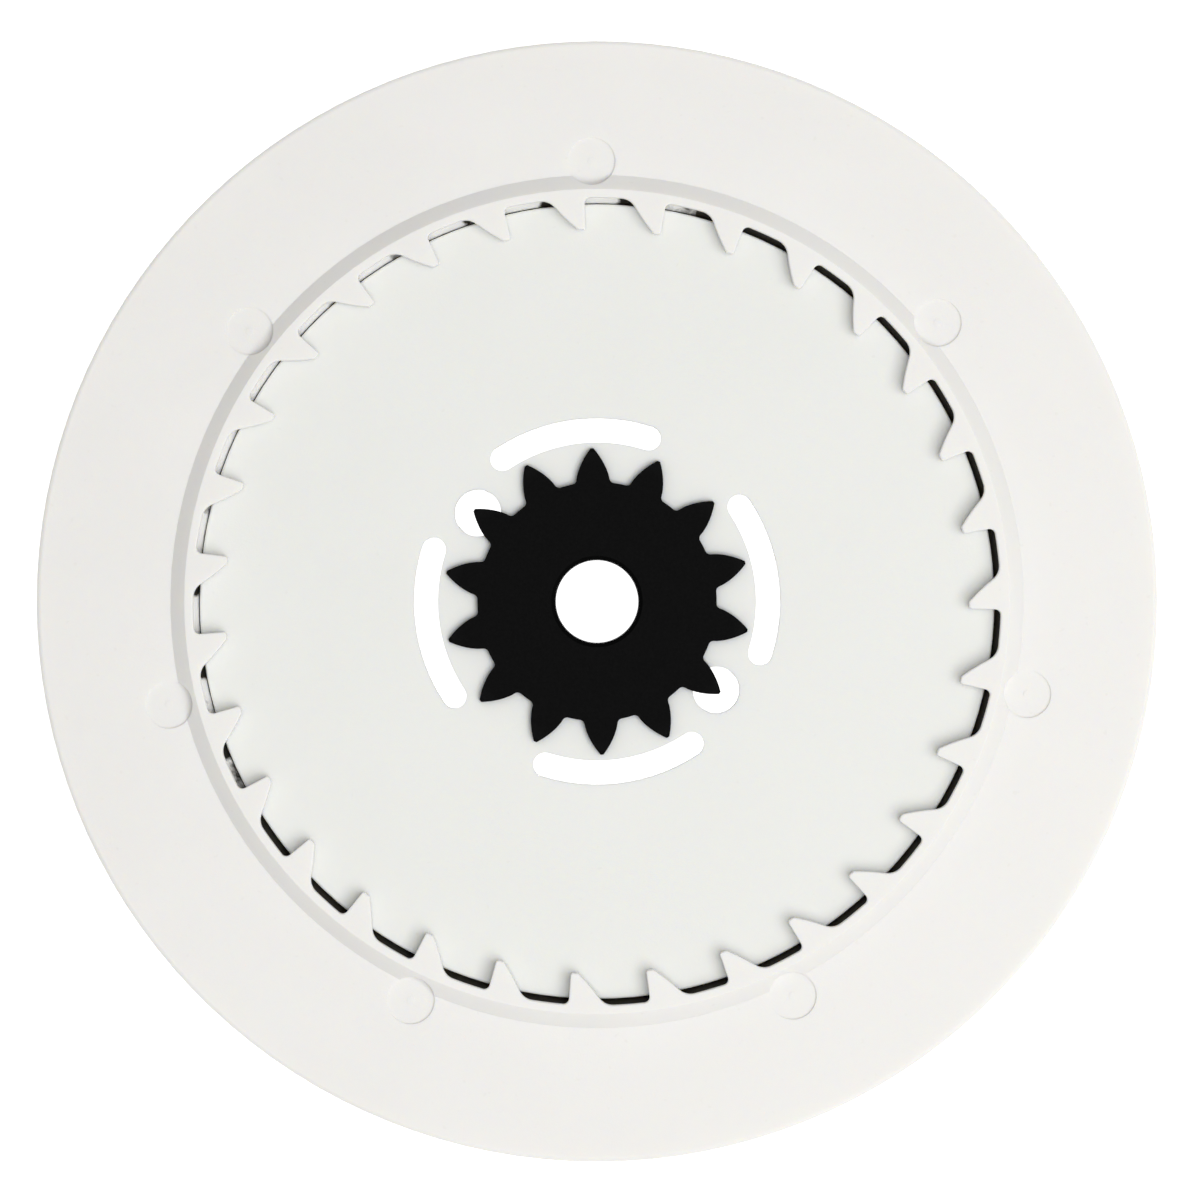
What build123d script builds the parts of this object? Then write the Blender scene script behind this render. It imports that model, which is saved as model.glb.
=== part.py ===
"""One-way slip-clutch spur gear.

A flanged ring with internal ratchet teeth holds a plain web disc. The disc is moulded
round a long spur pinion, whose front end stands a little proud of the disc and whose
teeth run out behind the wheel. A dished spring behind a friction ring lets the disc slip
in the ring when the load is too high. A screwed cover closes the clutch from behind.

Frame: the origin is on the bore axis at the pinion's rear end. +Z points out of the
ratchet side. All sizes are in millimetres, all angles are counter-clockwise from +X.
"""
from build123d import *
from math import acos, cos, pi, radians, sin, tan
import os

os.makedirs("parts", exist_ok=True)

# Ratchet ring
FLANGE_R = 60.0
FLANGE_T = 3.0
FLANGE_EDGE = 0.5
COLLAR_H = 1.5
COLLAR_TOP_R = 44.1
COLLAR_FOOT_R = 45.65
POCKET_ROOT_R = 43.2
HOUSING_R = 43.7
LIP_R = 42.67
LIP_DEPTH = 0.6
LIP_T = 0.9
SKIRT_WALL = 3.0
SKIRT_H = 5.0

# Ratchet teeth
RATCHET_TEETH = 31
RATCHET_PHASE = 7.2
RATCHET_TIP_R = 39.8
RATCHET_FACE = 2.2
POCKET_ANGLE = 6.55
POCKET_FILLET = 0.6
SLANT_FILLET = 1.8
TIP_FLAT_ANGLE = 1.1
TIP_FILLET = 0.3
FLANK_HOLLOW = 0.12
TOOTH_EDGE = 0.15
CUT_PAST = 1.5

# Screw bosses behind the flange, and the round pin marks in front of them
BOSSES = 7
BOSS_PHASE = 90.7
BOSS_PCR = 47.1
BOSS_R = 4.0
PILOT_R = 1.25
PILOT_ROOF = 2.0
MARK_R = 2.55
MARK_DEPTH = 0.25
MARK_PIP_R = 0.4
MARK_PIP_H = 0.08
GUSSET_T = 1.6
GUSSET_REACH = 57.0
GUSSET_STEP = 0.6

# Web disc
DISC_R = 42.55
DISC_T = 3.0
DISC_EDGE = 0.25
DISC_GAP = 0.12
SLOTS = 4
SLOT_R = 18.35
SLOT_W = 2.6
SLOT_SPAN = 59.2
SLOT_CENTRE_SPAN = SLOT_SPAN - SLOT_W / SLOT_R * 180.0 / pi
SLOT_PHASE = 8.0
HOLES = 2
HOLE_PCR = 15.9
HOLE_R = 2.5
HOLE_PHASE = 143.4
JOURNAL_R = 22.0
JOURNAL_WALL = 1.8
JOURNAL_SETBACK = 0.3
HUB_R = 16.9
HUB_DEPTH = 4.5
HUB_RIB_T = 1.4
HUB_RIB_PHASE = 53.0
HUB_RIB_DEPTH = 3.0

# Pinion
MODULE = 2.0
PINION_TEETH = 14
PRESSURE_ANGLE = 25.0
PINION_PHASE = 14.74
PINION_TIP_R = 16.4
PINION_ROOT_R = 12.8
ROOT_FILLET = 0.55
PINION_PROUD = 0.8
TOOTH_CROWN = 0.4
BORE_R = 4.5
BORE_CHAMFER = 0.4
LOCK_GROOVE_R = 14.6
LOCK_GROOVE_W = 1.6
PINION_TAIL = 12.0

# Clutch stack and cover
COVER_T = 2.4
COVER_EDGE = 0.4
COVER_SLEEVE_R = 24.2
COVER_SLEEVE_H = 3.0
COVER_RIB_T = 1.8
COVER_PANEL_DEPTH = 0.7
COVER_PANEL_IN = 26.0
COVER_PANEL_OUT = 41.5
SPIGOT_H = 0.8
SPIGOT_WALL = 1.5
FRICTION_T = 1.2
FRICTION_IN = 34.5
PLATE_T = 1.0
PLATE_IN = 33.5
STACK_R = 43.5
SPRING_T = 0.6
SPRING_IN = 34.5
SPRING_OUT = 41.5

# Screws
SCREW_R = 1.25
SCREW_HEAD_R = 2.8
SCREW_HEAD_H = 1.65
SCREW_HEAD_RIM = 0.1
SCREW_POINT = 1.0
SCREW_L = 7.6
RECESS_R = 1.3
RECESS_ARM = 0.55
RECESS_DEPTH = 0.9

# Fits
RUNNING = 0.05
SEAT = 0.05
CLEARANCE = 0.15

# Levels, from the pinion's rear end at zero
COVER_BACK = PINION_TAIL
COVER_FRONT = COVER_BACK + COVER_T
FLANGE_BACK = COVER_FRONT + SKIRT_H
FLANGE_FRONT = FLANGE_BACK + FLANGE_T
COLLAR_FRONT = FLANGE_FRONT + COLLAR_H
TOOTH_BACK = COLLAR_FRONT - RATCHET_FACE
DISC_FRONT = TOOTH_BACK - DISC_GAP
DISC_BACK = DISC_FRONT - DISC_T
FRICTION_FRONT = DISC_BACK - SEAT
PLATE_FRONT = FRICTION_FRONT - FRICTION_T
PLATE_BACK = PLATE_FRONT - PLATE_T
PINION_FRONT = DISC_FRONT + PINION_PROUD
BOSS_ANGLE = 360.0 / BOSSES


def polar(radius, degrees):
    """A point in the XY plane from its radius and angle."""
    return (radius * cos(radians(degrees)), radius * sin(radians(degrees)))


def involute_half_angle(radius):
    """Half the angle that a pinion tooth spans at this radius, in degrees."""
    pitch_angle = radians(PRESSURE_ANGLE)
    base_r = MODULE * PINION_TEETH / 2 * cos(pitch_angle)
    local_angle = acos(min(1.0, base_r / radius))
    half = pi / (2 * PINION_TEETH) + tan(pitch_angle) - pitch_angle
    return (half - tan(local_angle) + local_angle) * 180.0 / pi


def save(piece, name):
    """Label a finished piece and write its STEP file."""
    piece.label = name
    export_step(piece, f"parts/{name}.step")


# Pocket between two ratchet teeth: a radial flank on the counter-clockwise side and a
# slanted, slightly hollow flank on the clockwise side.
half_pocket = POCKET_ANGLE / 2
tooth_pitch = 360.0 / RATCHET_TEETH
tip_angle = half_pocket - tooth_pitch + TIP_FLAT_ANGLE
open_r = RATCHET_TIP_R - CUT_PAST
root_radial = polar(POCKET_ROOT_R, half_pocket)
root_slanted = polar(POCKET_ROOT_R, -half_pocket)
tip = polar(RATCHET_TIP_R - 0.02, tip_angle)
flank_dx = tip[0] - root_slanted[0]
flank_dy = tip[1] - root_slanted[1]
flank_length = (flank_dx**2 + flank_dy**2) ** 0.5
flank_middle = (
    (tip[0] + root_slanted[0]) / 2 + flank_dy / flank_length * FLANK_HOLLOW,
    (tip[1] + root_slanted[1]) / 2 - flank_dx / flank_length * FLANK_HOLLOW,
)

with BuildSketch() as pocket:
    with BuildLine():
        Line(polar(open_r, half_pocket), root_radial)
        ThreePointArc(root_radial, (POCKET_ROOT_R, 0), root_slanted)
        ThreePointArc(root_slanted, flank_middle, tip)
        Line(tip, polar(open_r, tip_angle))
        Line(polar(open_r, tip_angle), polar(open_r, half_pocket))
    make_face()
    root_corners = pocket.vertices().group_by(Axis.X)[-1].sort_by(Axis.Y)
    fillet(root_corners[-1], POCKET_FILLET)
    slanted_corner = pocket.vertices().sort_by_distance(Vector(*root_slanted))[0]
    fillet(slanted_corner, SLANT_FILLET)

with BuildPart() as ratchet_ring:
    with BuildSketch(Plane.XZ):
        with BuildLine():
            Polyline(
                (HOUSING_R, COVER_FRONT),
                (HOUSING_R + SKIRT_WALL, COVER_FRONT),
                (HOUSING_R + SKIRT_WALL, FLANGE_BACK),
                (FLANGE_R, FLANGE_BACK),
                (FLANGE_R, FLANGE_FRONT),
                (COLLAR_FOOT_R, FLANGE_FRONT),
                (COLLAR_TOP_R, COLLAR_FRONT),
                (RATCHET_TIP_R, COLLAR_FRONT),
                (RATCHET_TIP_R, TOOTH_BACK),
                (POCKET_ROOT_R, TOOTH_BACK),
                (LIP_R, DISC_FRONT - LIP_DEPTH),
                (LIP_R, DISC_FRONT - LIP_DEPTH - LIP_T),
                (HOUSING_R, DISC_FRONT - LIP_DEPTH - LIP_T),
                close=True,
            )
        make_face()
    revolve(axis=Axis.Z)
    rims = ratchet_ring.edges().filter_by(GeomType.CIRCLE)
    fillet(rims.filter_by(lambda edge: edge.radius > FLANGE_R - 0.1), FLANGE_EDGE)
    # Teeth: cut the pockets out of the inner lip
    with BuildSketch(Plane.XY.offset(TOOTH_BACK - DISC_GAP / 2)):
        with PolarLocations(0, RATCHET_TEETH, start_angle=RATCHET_PHASE):
            add(pocket.sketch)
    extrude(amount=RATCHET_FACE + DISC_GAP, mode=Mode.SUBTRACT)
    tip_edges = ratchet_ring.edges().filter_by(Axis.Z).filter_by(
        lambda edge: abs(Vector(edge.center().X, edge.center().Y).length - RATCHET_TIP_R) < 0.01
    )
    fillet(tip_edges, TIP_FILLET)
    lip_edges = ratchet_ring.edges().group_by(Axis.Z)[-1]
    fillet(lip_edges.filter_by(lambda edge: edge.length < 20), TOOTH_EDGE)
    # Screw bosses, their pilot holes and the round marks in front of them
    with BuildSketch(Plane.XY.offset(COVER_FRONT)):
        with PolarLocations(BOSS_PCR, BOSSES, start_angle=BOSS_PHASE):
            Circle(BOSS_R)
        Circle(HOUSING_R + SKIRT_WALL / 2, mode=Mode.SUBTRACT)
    extrude(amount=SKIRT_H + FLANGE_T / 2)
    with BuildSketch(Plane.XY.offset(COVER_FRONT)):
        with PolarLocations(BOSS_PCR, BOSSES, start_angle=BOSS_PHASE):
            Circle(PILOT_R)
    extrude(amount=FLANGE_FRONT - PILOT_ROOF - COVER_FRONT, mode=Mode.SUBTRACT)
    with BuildSketch(Plane.XY.offset(FLANGE_FRONT - MARK_DEPTH)):
        with PolarLocations(BOSS_PCR, BOSSES, start_angle=BOSS_PHASE):
            Circle(MARK_R)
    extrude(amount=COLLAR_H + MARK_DEPTH, mode=Mode.SUBTRACT)
    with BuildSketch(Plane.XY.offset(FLANGE_FRONT - MARK_DEPTH)):
        with PolarLocations(BOSS_PCR, BOSSES, start_angle=BOSS_PHASE):
            Circle(MARK_PIP_R)
    extrude(amount=MARK_PIP_H)
    # Gussets between the skirt and the flange, halfway between the bosses
    gusset_in = HOUSING_R + SKIRT_WALL / 2
    for index in range(BOSSES):
        gusset_angle = BOSS_PHASE + (index + 0.5) * BOSS_ANGLE
        with BuildSketch(Plane.XZ.rotated((0, 0, gusset_angle))):
            with BuildLine():
                Polyline(
                    (gusset_in, COVER_FRONT + GUSSET_STEP),
                    (HOUSING_R + SKIRT_WALL + GUSSET_STEP, COVER_FRONT + GUSSET_STEP),
                    (GUSSET_REACH, FLANGE_BACK - GUSSET_STEP),
                    (GUSSET_REACH, FLANGE_BACK + FLANGE_T / 2),
                    (gusset_in, FLANGE_BACK + FLANGE_T / 2),
                    close=True,
                )
            make_face()
        extrude(amount=GUSSET_T / 2, both=True)
save(ratchet_ring.part, "ratchet_ring")

# One pinion tooth, centred on +X, from inside the root circle to the tip
flank_radii = [PINION_ROOT_R + step * (PINION_TIP_R - PINION_ROOT_R) / 6 for step in range(7)]
flank_high = [polar(radius, involute_half_angle(radius)) for radius in flank_radii]
flank_low = [(x, -y) for x, y in flank_high]
tooth_foot = (PINION_ROOT_R - ROOT_FILLET, flank_high[0][1])

with BuildSketch() as pinion_outline:
    Circle(PINION_ROOT_R)
    with BuildSketch(mode=Mode.PRIVATE) as tooth:
        with BuildLine():
            Spline(*flank_high)
            ThreePointArc(flank_high[-1], (PINION_TIP_R, 0), flank_low[-1])
            Spline(*flank_low)
            Polyline(flank_low[0], (tooth_foot[0], -tooth_foot[1]), tooth_foot, flank_high[0])
        make_face()
    with PolarLocations(0, PINION_TEETH, start_angle=PINION_PHASE):
        add(tooth.sketch)
    roots = pinion_outline.vertices().filter_by(
        lambda corner: abs(Vector(corner).length - PINION_ROOT_R) < 0.01
    )
    fillet(roots, ROOT_FILLET)

with BuildPart() as drive_pinion:
    with BuildSketch():
        add(pinion_outline.sketch)
    extrude(amount=PINION_FRONT)
    # Both ends are turned down a little at the tooth tips
    with BuildSketch(Plane.XZ):
        with BuildLine():
            Polyline(
                (0, 0),
                (PINION_TIP_R - TOOTH_CROWN, 0),
                (PINION_TIP_R + TOOTH_CROWN, 2 * TOOTH_CROWN),
                (PINION_TIP_R + TOOTH_CROWN, PINION_FRONT - 2 * TOOTH_CROWN),
                (PINION_TIP_R - TOOTH_CROWN, PINION_FRONT),
                (0, PINION_FRONT),
                close=True,
            )
        make_face()
    revolve(axis=Axis.Z, mode=Mode.INTERSECT)
    # Groove across the teeth, which the web's plastic fills and locks
    with BuildSketch(Plane.XY.offset(DISC_BACK - LOCK_GROOVE_W / 2)):
        Circle(PINION_TIP_R + 1)
        Circle(LOCK_GROOVE_R, mode=Mode.SUBTRACT)
    extrude(amount=LOCK_GROOVE_W, mode=Mode.SUBTRACT)
    with BuildSketch():
        Circle(BORE_R)
    extrude(amount=PINION_FRONT, mode=Mode.SUBTRACT)
    bore_rims = drive_pinion.edges().filter_by(GeomType.CIRCLE)
    bore_rims = bore_rims.filter_by(lambda edge: abs(edge.radius - BORE_R) < 0.01)
    chamfer(bore_rims, BORE_CHAMFER)
save(drive_pinion.part, "drive_pinion")

with BuildPart() as web_disc:
    with BuildSketch(Plane.XY.offset(DISC_BACK)):
        Circle(DISC_R)
    extrude(amount=DISC_T)
    fillet(web_disc.edges().filter_by(GeomType.CIRCLE), DISC_EDGE)
    # Journal that turns in the cover's sleeve
    journal_back = COVER_BACK + JOURNAL_SETBACK
    with BuildSketch(Plane.XY.offset(journal_back)):
        Circle(JOURNAL_R)
        Circle(JOURNAL_R - JOURNAL_WALL, mode=Mode.SUBTRACT)
    extrude(amount=DISC_BACK - journal_back + DISC_T / 2)
    # Hub round the pinion's teeth, and two ribs from it to the journal
    with BuildSketch(Plane.XY.offset(DISC_BACK - HUB_DEPTH)):
        Circle(HUB_R)
    extrude(amount=HUB_DEPTH + DISC_T / 2)
    rib_length = JOURNAL_R - JOURNAL_WALL / 2 - HUB_R
    with BuildSketch(Plane.XY.offset(DISC_BACK - HUB_RIB_DEPTH)):
        with PolarLocations(HUB_R + rib_length / 2, 2, start_angle=HUB_RIB_PHASE):
            Rectangle(rib_length + JOURNAL_WALL / 2, HUB_RIB_T)
    extrude(amount=HUB_RIB_DEPTH + DISC_T / 2)
    # Arc slots through the web
    with BuildSketch(Plane.XY.offset(DISC_BACK)):
        for index in range(SLOTS):
            slot_start = SLOT_PHASE + index * 360.0 / SLOTS - SLOT_CENTRE_SPAN / 2
            with BuildLine(mode=Mode.PRIVATE) as slot_path:
                CenterArc((0, 0), SLOT_R, slot_start, SLOT_CENTRE_SPAN)
            SlotArc(slot_path.edge(), SLOT_W)
    extrude(amount=DISC_T, mode=Mode.SUBTRACT)
    # Two round holes through web and hub, each round one pinion tooth
    with BuildSketch(Plane.XY.offset(DISC_BACK - HUB_DEPTH)):
        with PolarLocations(HOLE_PCR, HOLES, start_angle=HOLE_PHASE):
            Circle(HOLE_R)
    extrude(amount=HUB_DEPTH + DISC_T, mode=Mode.SUBTRACT)
    # The web is moulded round the pinion
    add(drive_pinion.part, mode=Mode.SUBTRACT)
    with BuildSketch(Plane.XY.offset(DISC_BACK - HUB_DEPTH)):
        Circle(BORE_R + BORE_CHAMFER)
    extrude(amount=HUB_DEPTH + DISC_T, mode=Mode.SUBTRACT)
save(web_disc.part, "web_disc")

with BuildPart() as friction_ring:
    with BuildSketch(Plane.XY.offset(PLATE_FRONT)):
        Circle(STACK_R)
        Circle(FRICTION_IN, mode=Mode.SUBTRACT)
    extrude(amount=FRICTION_T)
save(friction_ring.part, "friction_ring")

with BuildPart() as pressure_plate:
    with BuildSketch(Plane.XY.offset(PLATE_BACK)):
        Circle(STACK_R)
        Circle(PLATE_IN, mode=Mode.SUBTRACT)
    extrude(amount=PLATE_T)
    chamfer(pressure_plate.edges(), PLATE_T / 8)
save(pressure_plate.part, "pressure_plate")

# Dished spring: its outer edge bears on the cover, its inner edge on the plate
with BuildPart() as disc_spring:
    with BuildSketch(Plane.XZ):
        with BuildLine():
            Polyline(
                (SPRING_OUT, COVER_FRONT),
                (SPRING_OUT, COVER_FRONT + SPRING_T),
                (SPRING_IN, PLATE_BACK),
                (SPRING_IN, PLATE_BACK - SPRING_T),
                close=True,
            )
        make_face()
    revolve(axis=Axis.Z)
save(disc_spring.part, "disc_spring")

with BuildPart() as rear_cover:
    with BuildSketch(Plane.XY.offset(COVER_BACK)):
        Circle(HOUSING_R + SKIRT_WALL)
        with PolarLocations(BOSS_PCR, BOSSES, start_angle=BOSS_PHASE):
            Circle(BOSS_R)
    extrude(amount=COVER_T)
    fillet(rear_cover.edges().group_by(Axis.Z)[0], COVER_EDGE)
    # Sleeve around the web disc's journal, and the spigot that centres the cover
    with BuildSketch(Plane.XY.offset(COVER_BACK + COVER_T / 2)):
        Circle(COVER_SLEEVE_R)
    extrude(amount=COVER_T / 2 + COVER_SLEEVE_H)
    with BuildSketch(Plane.XY.offset(COVER_BACK + COVER_T / 2)):
        Circle(HOUSING_R - RUNNING)
        Circle(HOUSING_R - SPIGOT_WALL, mode=Mode.SUBTRACT)
    extrude(amount=COVER_T / 2 + SPIGOT_H)
    with BuildSketch(Plane.XY.offset(COVER_BACK)):
        Circle(JOURNAL_R + RUNNING)
    extrude(amount=COVER_T + COVER_SLEEVE_H, mode=Mode.SUBTRACT)
    # Sunken panels between radial ribs on the rear face
    with BuildSketch(Plane.XY.offset(COVER_BACK)):
        Circle(COVER_PANEL_OUT)
        Circle(COVER_PANEL_IN, mode=Mode.SUBTRACT)
        with PolarLocations(COVER_PANEL_OUT / 2, BOSSES, start_angle=BOSS_PHASE):
            Rectangle(COVER_PANEL_OUT, COVER_RIB_T, mode=Mode.SUBTRACT)
    extrude(amount=COVER_PANEL_DEPTH, mode=Mode.SUBTRACT)
    # Countersunk screw holes
    with Locations(Plane.XY.offset(COVER_BACK).rotated((180, 0, 0))):
        with PolarLocations(BOSS_PCR, BOSSES, start_angle=-BOSS_PHASE):
            CounterSinkHole(SCREW_R + CLEARANCE, SCREW_HEAD_R + CLEARANCE, counter_sink_angle=90)
save(rear_cover.part, "rear_cover")

for index in range(BOSSES):
    screw_x, screw_y = polar(BOSS_PCR, BOSS_PHASE + index * BOSS_ANGLE)
    with BuildPart() as cover_screw:
        with BuildSketch(Plane.XZ.offset(-screw_y)):
            with BuildLine():
                Polyline(
                    (screw_x, COVER_BACK),
                    (screw_x + SCREW_HEAD_R, COVER_BACK),
                    (screw_x + SCREW_HEAD_R, COVER_BACK + SCREW_HEAD_RIM),
                    (screw_x + SCREW_R, COVER_BACK + SCREW_HEAD_H),
                    (screw_x + SCREW_R, COVER_BACK + SCREW_L - SCREW_POINT),
                    (screw_x + SCREW_R / 2, COVER_BACK + SCREW_L),
                    (screw_x, COVER_BACK + SCREW_L),
                    close=True,
                )
            make_face()
        revolve(axis=Axis((screw_x, screw_y, 0), (0, 0, 1)))
        with BuildSketch(Plane.XY.offset(COVER_BACK)):
            with Locations((screw_x, screw_y)):
                Rectangle(2 * RECESS_R, RECESS_ARM)
                Rectangle(RECESS_ARM, 2 * RECESS_R)
        extrude(amount=RECESS_DEPTH, mode=Mode.SUBTRACT)
    save(cover_screw.part, f"cover_screw_{index + 1}")
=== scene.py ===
"""Looks of the ratchet wheel: materials, light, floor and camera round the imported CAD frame."""
from math import cos, pi, radians, sin

import bpy
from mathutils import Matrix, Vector


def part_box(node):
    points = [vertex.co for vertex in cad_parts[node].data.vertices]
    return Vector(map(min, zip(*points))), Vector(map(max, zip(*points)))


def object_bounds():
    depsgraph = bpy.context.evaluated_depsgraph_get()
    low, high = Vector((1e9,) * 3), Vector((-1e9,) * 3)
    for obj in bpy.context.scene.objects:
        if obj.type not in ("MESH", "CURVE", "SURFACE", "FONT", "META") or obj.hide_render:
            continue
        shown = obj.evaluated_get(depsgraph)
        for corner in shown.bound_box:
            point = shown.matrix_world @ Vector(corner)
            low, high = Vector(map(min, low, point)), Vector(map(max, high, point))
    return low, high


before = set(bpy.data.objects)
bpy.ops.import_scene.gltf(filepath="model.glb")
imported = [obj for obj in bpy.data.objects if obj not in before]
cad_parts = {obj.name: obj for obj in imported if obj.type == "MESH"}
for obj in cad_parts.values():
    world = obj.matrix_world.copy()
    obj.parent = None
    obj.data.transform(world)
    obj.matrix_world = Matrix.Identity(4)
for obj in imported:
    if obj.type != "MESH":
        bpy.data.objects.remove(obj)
cad_low, cad_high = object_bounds()

MM = 0.001

# Radii and levels read from the frame, in metres
ring_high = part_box("ratchet_ring")[1]
disc_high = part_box("web_disc")[1]
pinion_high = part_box("drive_pinion")[1]
flange_r = ring_high.x
disc_r = disc_high.x
pinion_r = pinion_high.x
collar_level = ring_high.z
disc_level = disc_high.z

# Sizes as in the CAD, and the azimuth of the first pocket in degrees
RATCHET_TEETH = 31
RATCHET_PHASE = 7.2
COLLAR_H = 1.5 * MM

# Painted shade: a near-black layer in the gap round the disc stands in for the gap's depth and shadow. It
# reaches from the disc's rim to just past the lip, and ends just above the disc. Below are the azimuth of
# its darkest side in degrees, where the gap's outer wall is turned from the key light, and where the black
# begins, as shares of the disc's radius measured from the axis towards that side.
GAP_IN = (0.02 * MM, 0.08 * MM)
GAP_OUT = (0.66 * MM, 0.70 * MM)
GAP_TOP = (0.15 * MM, 0.40 * MM)
SHADE_SIDE = -40.0
SHADE_FROM = (-0.56, -0.38)
SHADE_RAGGED = 0.12
CORNER_SHADE = (-0.22, -0.10)
CORNER_SHADE_LIFT = 0.45


# ---------------------------------------------------------------- node helpers

class Nodes:
    """A small wrapper that builds a material's node tree and reads like a recipe."""

    def __init__(self, name):
        self.material = bpy.data.materials.new(name)
        self.material.use_nodes = True
        self.tree = self.material.node_tree
        self.shader = self.tree.nodes["Principled BSDF"]
        self.object_space = self.add("ShaderNodeTexCoord").outputs["Object"]

    def add(self, kind, **settings):
        node = self.tree.nodes.new(kind)
        for key, value in settings.items():
            setattr(node, key, value)
        return node

    def link(self, source, target):
        self.tree.links.new(source, target)

    def noise(self, size, detail=2.0, roughness=0.5, offset=0.0):
        """Noise in object space whose features are about `size` metres across, from 0 to 1."""
        mapping = self.add("ShaderNodeMapping")
        mapping.inputs["Location"].default_value = (offset, offset, offset)
        self.link(self.object_space, mapping.inputs["Vector"])
        node = self.add("ShaderNodeTexNoise")
        node.inputs["Scale"].default_value = 1.0 / size
        node.inputs["Detail"].default_value = detail
        node.inputs["Roughness"].default_value = roughness
        self.link(mapping.outputs["Vector"], node.inputs["Vector"])
        return node.outputs["Fac"]

    def math(self, operation, first, second=None):
        node = self.add("ShaderNodeMath", operation=operation)
        for socket, value in zip(node.inputs, (first, second)):
            if value is None:
                continue
            if isinstance(value, (int, float)):
                socket.default_value = value
            else:
                self.link(value, socket)
        return node.outputs[0]

    def remap(self, value, low, high, out_low=0.0, out_high=1.0):
        """Linear map of value from low..high to out_low..out_high, held at its ends."""
        node = self.add("ShaderNodeMapRange", clamp=True)
        self.link(value, node.inputs["Value"])
        for key, number in (
            ("From Min", low), ("From Max", high), ("To Min", out_low), ("To Max", out_high),
        ):
            node.inputs[key].default_value = number
        return node.outputs["Result"]

    def mix(self, factor, first, second):
        """Colour mix. A colour is a tuple or a socket."""
        node = self.add("ShaderNodeMix", data_type="RGBA")
        self.link(factor, node.inputs["Factor"])
        for key, value in (("A", first), ("B", second)):
            socket = [s for s in node.inputs if s.name == key and s.type == "RGBA"][0]
            if isinstance(value, tuple):
                socket.default_value = (*value, 1.0)
            else:
                self.link(value, socket)
        return [s for s in node.outputs if s.type == "RGBA"][0]

    def radius(self):
        """Distance from the bore axis, in metres."""
        parts = self.add("ShaderNodeSeparateXYZ")
        self.link(self.object_space, parts.inputs[0])
        flat = self.add("ShaderNodeCombineXYZ")
        self.link(parts.outputs["X"], flat.inputs["X"])
        self.link(parts.outputs["Y"], flat.inputs["Y"])
        length = self.add("ShaderNodeVectorMath", operation="LENGTH")
        self.link(flat.outputs[0], length.inputs[0])
        return length.outputs["Value"]

    def height(self):
        """Level above the rear face, in metres."""
        parts = self.add("ShaderNodeSeparateXYZ")
        self.link(self.object_space, parts.inputs[0])
        return parts.outputs["Z"]

    def along(self, degrees):
        """Distance from the bore axis, measured along one azimuth, in metres."""
        node = self.add("ShaderNodeVectorMath", operation="DOT_PRODUCT")
        self.link(self.object_space, node.inputs[0])
        node.inputs[1].default_value = (cos(radians(degrees)), sin(radians(degrees)), 0.0)
        return node.outputs["Value"]

    def pitch_place(self):
        """Place in the ratchet's pitch: 0 in the middle of a pocket, -0.5 and 0.5 in a tooth."""
        parts = self.add("ShaderNodeSeparateXYZ")
        self.link(self.object_space, parts.inputs[0])
        angle = self.math("ARCTAN2", parts.outputs["Y"], parts.outputs["X"])
        angle = self.math("SUBTRACT", angle, radians(RATCHET_PHASE) - 2 * pi)
        turns = self.math("MULTIPLY", angle, RATCHET_TEETH / (2 * pi))
        place = self.math("FRACT", self.math("ADD", turns, 0.5))
        return self.math("SUBTRACT", place, 0.5)

    def bump(self, height, distance, under=None):
        node = self.add("ShaderNodeBump")
        node.inputs["Strength"].default_value = 1.0
        node.inputs["Distance"].default_value = distance
        self.link(height, node.inputs["Height"])
        if under is not None:
            self.link(under, node.inputs["Normal"])
        return node.outputs["Normal"]

    def finish(self, color, roughness, normal=None, **constants):
        """Connect the main sockets; constants are set on the shader's own sockets."""
        self.link(color, self.shader.inputs["Base Color"])
        self.link(roughness, self.shader.inputs["Roughness"])
        if normal is not None:
            self.link(normal, self.shader.inputs["Normal"])
        for key, value in constants.items():
            self.shader.inputs[key.replace("_", " ")].default_value = value
        return self.material


# ---------------------------------------------------------------- materials

def acetal(name, tint, tint_low, offset, with_painted_gap_shade=False):
    """White moulded plastic: spark-eroded grain and faint mottling, with or without painted shade in the
    gap.
    """
    n = Nodes(name)
    cloud = n.noise(14 * MM, detail=3, offset=offset)
    speck = n.noise(0.7 * MM, detail=1, offset=offset + 3)
    color = n.mix(n.remap(cloud, 0.35, 0.65), tint_low, tint)
    color = n.mix(n.remap(speck, 0.72, 0.80, 0.0, 0.10), color, (0.62, 0.59, 0.52))
    # Painted shade: near-black in the gap below the pockets, on the ring only
    if with_painted_gap_shade:
        color = paint_gap_shade(n, color)
    grain = n.noise(0.22 * MM, detail=2, roughness=0.6, offset=offset)
    wave = n.noise(2.4 * MM, detail=2, offset=offset + 11)
    normal = n.bump(wave, 0.02 * MM)
    normal = n.bump(grain, 0.012 * MM, under=normal)
    roughness = n.remap(cloud, 0.3, 0.7, 0.46, 0.56)
    return n.finish(
        color, roughness, normal,
        IOR=1.48,
        Subsurface_Weight=0.45,
        Subsurface_Radius=(1.0, 0.85, 0.55),
        Subsurface_Scale=1.2 * MM,
    )


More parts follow.
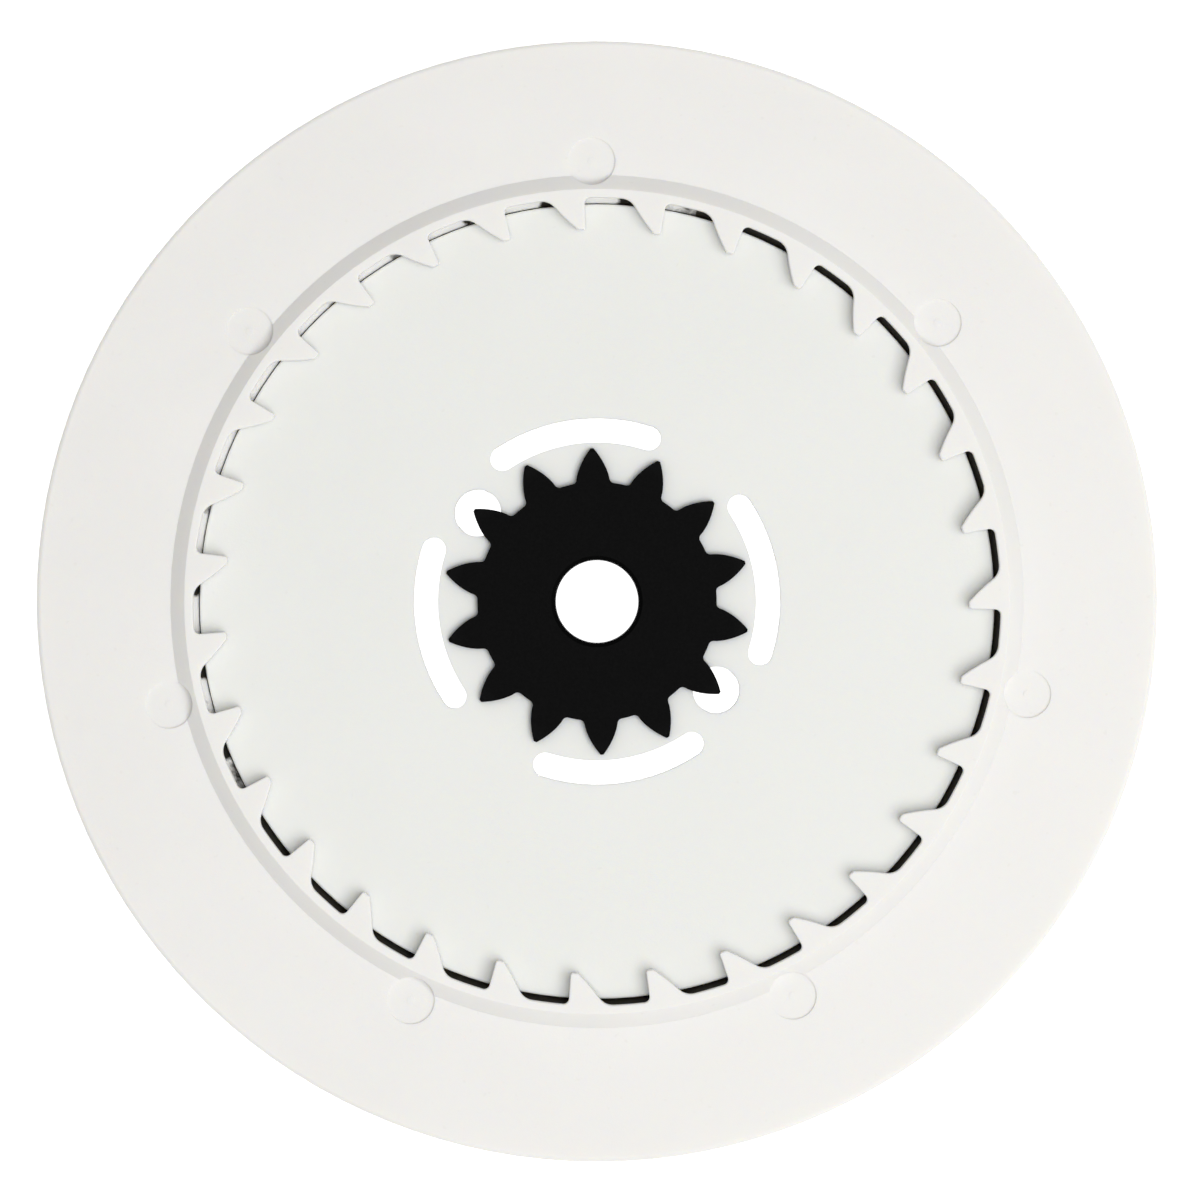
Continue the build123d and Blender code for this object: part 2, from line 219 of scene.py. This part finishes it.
def paint_gap_shade(n, color):
    """Painted shade: a near-black layer on the lip below the pockets, which stands in for the gap's unseen
    depth and the shadow in it.
    """
    reach = n.radius()
    inside = n.remap(reach, disc_r + GAP_IN[0], disc_r + GAP_IN[1])
    outside = n.remap(reach, disc_r + GAP_OUT[0], disc_r + GAP_OUT[1], 1.0, 0.0)
    below = n.remap(n.height(), disc_level + GAP_TOP[0], disc_level + GAP_TOP[1], 1.0, 0.0)
    gap = n.math("MULTIPLY", n.math("MULTIPLY", inside, outside), below)
    place = n.pitch_place()
    # The painted shade is darkest on the key light's side, where the gap's outer wall faces away from the
    # light; noise makes its edge ragged
    side = n.math("MULTIPLY", n.along(SHADE_SIDE), 1.0 / disc_r)
    patches = n.noise(2.0 * MM, detail=3, roughness=0.7, offset=7.0)
    side = n.math("ADD", side, n.remap(patches, 0.3, 0.7, -SHADE_RAGGED, SHADE_RAGGED))
    # Painted corner shade: the slanted corners of the pockets stay black further round
    corner = n.remap(place, CORNER_SHADE[0], CORNER_SHADE[1], CORNER_SHADE_LIFT, 0.0)
    dark = n.remap(n.math("ADD", side, corner), SHADE_FROM[0], SHADE_FROM[1])
    return n.mix(n.math("MULTIPLY", gap, dark), color, (0.008, 0.006, 0.004))


def black_steel():
    """Steam-blackened sintered steel: open-grained, and rubbed a little smoother near the tips."""
    n = Nodes("pinion_black_steel")
    fleck = n.noise(0.25 * MM, detail=3, roughness=0.7)
    color = n.mix(n.remap(fleck, 0.35, 0.75), (0.001, 0.001, 0.0011), (0.003, 0.003, 0.0031))
    rubbed = n.remap(n.radius(), pinion_r - 1.5 * MM, pinion_r)
    roughness = n.remap(rubbed, 0.0, 1.0, 0.60, 0.45)
    normal = n.bump(n.noise(0.16 * MM, detail=2), 0.01 * MM)
    return n.finish(color, roughness, normal, IOR=1.45, Specular_IOR_Level=0.06)


def friction_fibre():
    """Dark woven friction lining with short resin and brass flecks."""
    n = Nodes("friction_fibre")
    fibre = n.noise(0.5 * MM, detail=4, roughness=0.75)
    color = n.mix(n.remap(fibre, 0.3, 0.7), (0.010, 0.007, 0.004), (0.045, 0.028, 0.012))
    brass = n.remap(n.noise(0.35 * MM, detail=1, offset=5), 0.70, 0.74)
    color = n.mix(brass, color, (0.26, 0.17, 0.04))
    roughness = n.remap(fibre, 0.2, 0.8, 0.7, 0.9)
    return n.finish(color, roughness, n.bump(fibre, 0.05 * MM))


def turned_steel(name, light, dark, rough_low, rough_high, ring_size):
    """Plated or phosphated steel: fine turning rings, and patches where the coating is thin."""
    n = Nodes(name)
    reach = n.radius()
    rings = n.math("SINE", n.math("MULTIPLY", reach, 2 * pi / ring_size))
    patch = n.noise(3 * MM, detail=4, roughness=0.6)
    color = n.mix(n.remap(patch, 0.35, 0.65), dark, light)
    roughness = n.remap(patch, 0.3, 0.7, rough_low, rough_high)
    normal = n.bump(rings, 0.004 * MM)
    return n.finish(color, roughness, normal, Metallic=1.0)


def paint(node, material):
    """Give a CAD node its finished material."""
    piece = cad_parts[node]
    piece.data.materials.clear()
    piece.data.materials.append(material)


RING_WHITE = (0.870, 0.862, 0.845)
RING_SHADE = (0.855, 0.846, 0.828)
DISC_WHITE = (0.845, 0.852, 0.828)
DISC_SHADE = (0.832, 0.839, 0.814)

# The ring carries the painted near-black shade in the gap
ring_acetal = acetal("ring_acetal", RING_WHITE, RING_SHADE, 0.0, with_painted_gap_shade=True)
disc_acetal = acetal("disc_acetal", DISC_WHITE, DISC_SHADE, 0.4)
cover_acetal = acetal("cover_acetal", RING_WHITE, RING_SHADE, 0.8)
phosphated = turned_steel("spring_steel", (0.20, 0.20, 0.21), (0.10, 0.10, 0.11), 0.32, 0.5, 0.25 * MM)
zinc = turned_steel("zinc_steel", (0.62, 0.62, 0.60), (0.48, 0.48, 0.47), 0.25, 0.4, 0.3 * MM)

paint("ratchet_ring", ring_acetal)
paint("web_disc", disc_acetal)
paint("rear_cover", cover_acetal)
paint("drive_pinion", black_steel())
paint("friction_ring", friction_fibre())
paint("disc_spring", phosphated)
paint("pressure_plate", zinc)
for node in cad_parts:
    if node.startswith("cover_screw"):
        paint(node, zinc)


# ---------------------------------------------------------------- floor, light and camera

def floor():
    """Pale floor that glows like a light table: below the openings and round the rim, less elsewhere."""
    n = Nodes("floor_white")
    mottle = n.noise(0.3, detail=2)
    color = n.mix(mottle, (0.93, 0.93, 0.92), (0.95, 0.95, 0.95))
    n.finish(color, n.remap(mottle, 0.0, 1.0, 0.85, 0.9))
    reach = n.radius()
    glow = n.remap(reach, 0.40 * flange_r, 0.60 * flange_r, GLOW_CORE, GLOW_SHADE)
    rim = n.remap(reach, 0.88 * flange_r, 1.00 * flange_r, 0.0, GLOW_RIM - GLOW_SHADE)
    far = n.remap(reach, 1.30 * flange_r, 1.80 * flange_r, 0.0, GLOW_FAR - GLOW_RIM)
    glow = n.math("ADD", n.math("ADD", glow, rim), far)
    n.link(glow, n.shader.inputs["Emission Strength"])
    n.shader.inputs["Emission Color"].default_value = (1.0, 1.0, 1.0, 1.0)
    bpy.ops.mesh.primitive_plane_add(size=FLOOR_SIZE, location=(0, 0, cad_low.z - FLOOR_DROP))
    plane = bpy.context.object
    plane.name = "floor"
    plane.data.materials.append(n.material)


def soft_light(name, azimuth, elevation, distance, size, watts, color):
    """A square area light that faces the wheel from a direction given in degrees."""
    data = bpy.data.lights.new(name, "AREA")
    data.size = size
    data.energy = watts
    data.color = color
    lamp = bpy.data.objects.new(name, data)
    around, up = radians(azimuth), radians(elevation)
    toward = Vector((cos(around) * cos(up), sin(around) * cos(up), sin(up)))
    lamp.location = toward * distance
    lamp.rotation_mode = "QUATERNION"
    lamp.rotation_quaternion = (-toward).to_track_quat("-Z", "Y")
    bpy.context.scene.collection.objects.link(lamp)


def sky(strength):
    """Even white light from all round."""
    world = bpy.data.worlds.new("studio")
    world.use_nodes = True
    background = world.node_tree.nodes["Background"]
    background.inputs["Color"].default_value = (1.0, 1.0, 0.995, 1.0)
    background.inputs["Strength"].default_value = strength
    bpy.context.scene.world = world


def camera():
    """Straight above the wheel, so far away that the flange fills FLANGE_SHARE of the frame."""
    data = bpy.data.cameras.new("camera")
    data.lens = LENS
    data.sensor_width = SENSOR
    cam = bpy.data.objects.new("camera", data)
    flange_front = collar_level - COLLAR_H
    height = flange_r * 2 / FLANGE_SHARE / (SENSOR / LENS)
    cam.location = (AIM_RIGHT, AIM_UP, flange_front + height)
    bpy.context.scene.collection.objects.link(cam)
    bpy.context.scene.camera = cam


FLOOR_SIZE = 6.0
FLOOR_DROP = 0.05 * MM
GLOW_CORE = 1.15
GLOW_SHADE = 0.15
GLOW_RIM = 0.75
GLOW_FAR = 0.20
SENSOR = 36.0
LENS = 300.0
FLANGE_SHARE = 0.9346
AIM_RIGHT = 0.32 * MM
AIM_UP = 0.16 * MM
KEY_WHITE = (1.0, 0.995, 0.98)
SKY_STRENGTH = 0.48

floor()
soft_light("key", azimuth=-32.0, elevation=67.0, distance=1.0, size=0.70, watts=6.1, color=KEY_WHITE)
sky(SKY_STRENGTH)
camera()

view = bpy.context.scene.view_settings
view.view_transform = "Standard"
